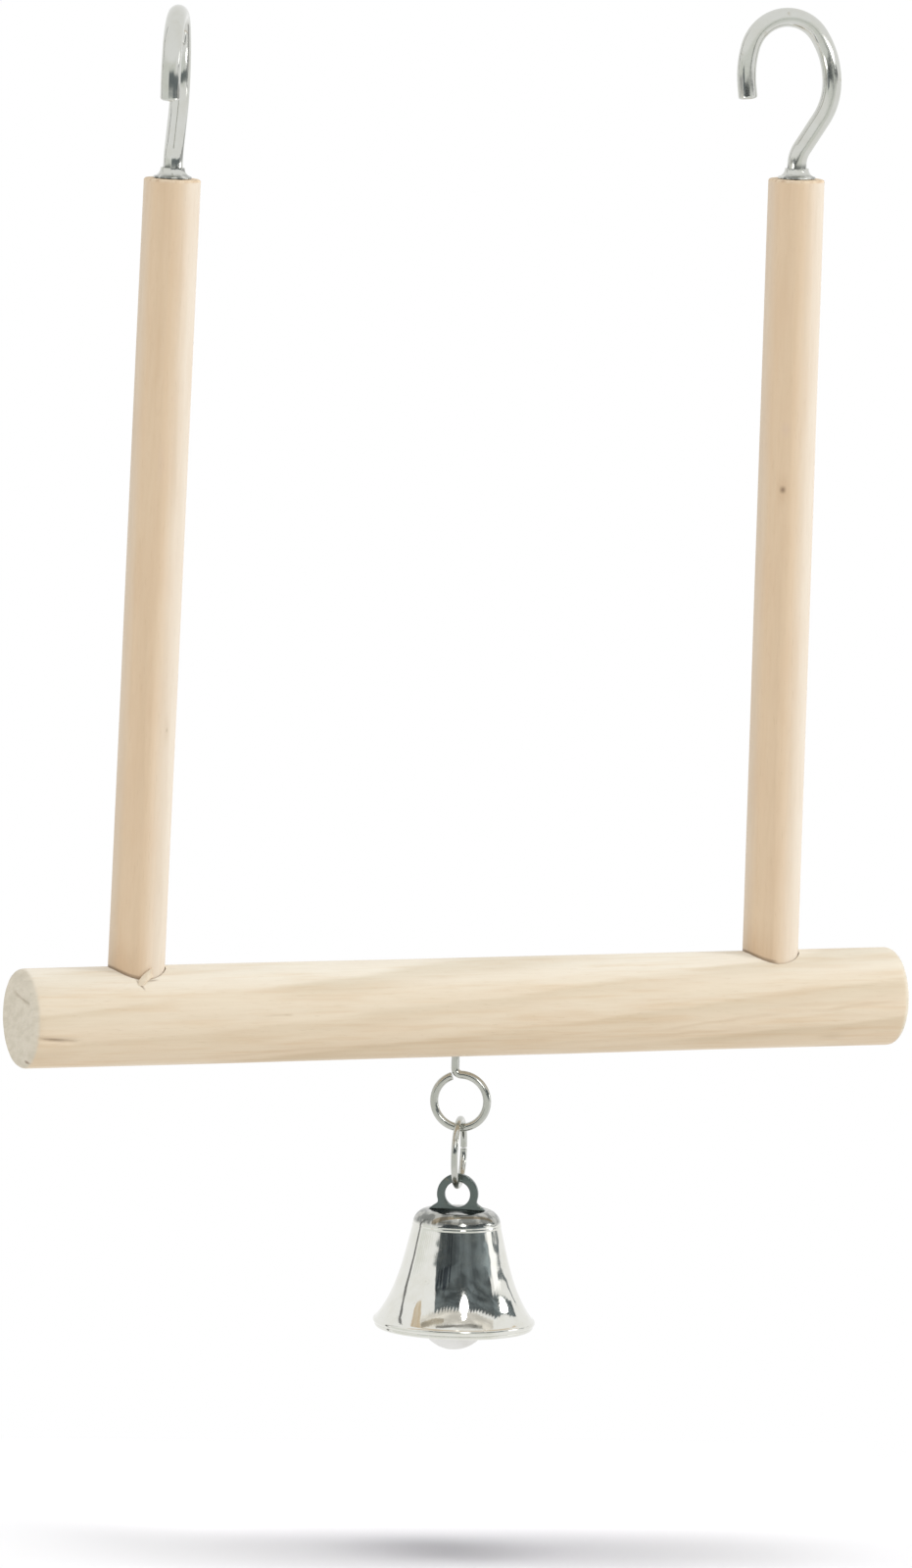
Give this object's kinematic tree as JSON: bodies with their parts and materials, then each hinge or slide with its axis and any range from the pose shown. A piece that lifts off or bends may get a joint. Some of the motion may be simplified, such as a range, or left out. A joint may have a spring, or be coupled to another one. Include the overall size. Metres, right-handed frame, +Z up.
{
  "type": "bird swing",
  "caption": "Cage swing: a round wooden perch on wooden uprights, hung by open wire hooks, with a small metal bell under the perch.",
  "frame": {"origin": "over the middle of the perch, at the height of the hooks' inner crowns, where the cage wire carries the swing", "axes": "+X along the perch to its right end, +Y to the back, +Z up along the uprights"},
  "size_m": [0.132, 0.0228, 0.1889],
  "materials": {
    "perch_wood": "bare sanded hardwood dowel, cream with faint rosy grain",
    "upright_wood": "bare sanded hardwood dowel, warm cream",
    "hook_plate": "bright nickel plate on steel wire",
    "collar_plate": "bright nickel plate",
    "eye_plate": "nickel plate, a little dulled",
    "ring_plate": "nickel plate, a little dulled",
    "bell_plate": "mirror nickel plate",
    "lug_plate": "nickel plate",
    "clapper_steel": "pale satin steel ball"
  },
  "bodies": {
    "wooden_frame": {"perch": "perch_wood", "upright_left": "upright_wood", "upright_right": "upright_wood", "screw_eye": "eye_plate"},
    "left_hook": {"hook_left": "hook_plate", "hook_collar_left": "collar_plate"},
    "right_hook": {"hook_right": "hook_plate", "hook_collar_right": "collar_plate"},
    "hanging_ring": {"jump_ring": "ring_plate"},
    "bell": {"bell_shell": "bell_plate", "bell_lug": "lug_plate"},
    "clapper": {"clapper_wire": "ring_plate", "clapper_ball": "clapper_steel"}
  },
  "joints": [
    {"name": "left_hook_turn", "type": "hinge", "parent": "wooden_frame", "child": "left_hook", "pos_m": [-0.04667, 0, -0.02135], "axis": [0.0192, 0, 0.9998], "range_deg": [-90, 90]},
    {"name": "right_hook_turn", "type": "hinge", "parent": "wooden_frame", "child": "right_hook", "pos_m": [0.047, 0, -0.02133], "axis": [0, 0, 1], "range_deg": [-90, 90]},
    {"name": "ring_swing", "type": "hinge", "parent": "wooden_frame", "child": "hanging_ring", "pos_m": [0.0004, 0, -0.1547], "axis": [0.866, -0.5, 0], "range_deg": [-75, 75]},
    {"name": "bell_swing", "type": "hinge", "parent": "hanging_ring", "child": "bell", "pos_m": [0.0004, 0, -0.1629], "axis": [0.5, 0.866, 0], "range_deg": [-70, 70]},
    {"name": "clapper_swing", "type": "hinge", "parent": "bell", "child": "clapper", "pos_m": [0.0004, 0, -0.16903], "axis": [0.5, 0.866, 0], "range_deg": [-17, 17]}
  ]
}
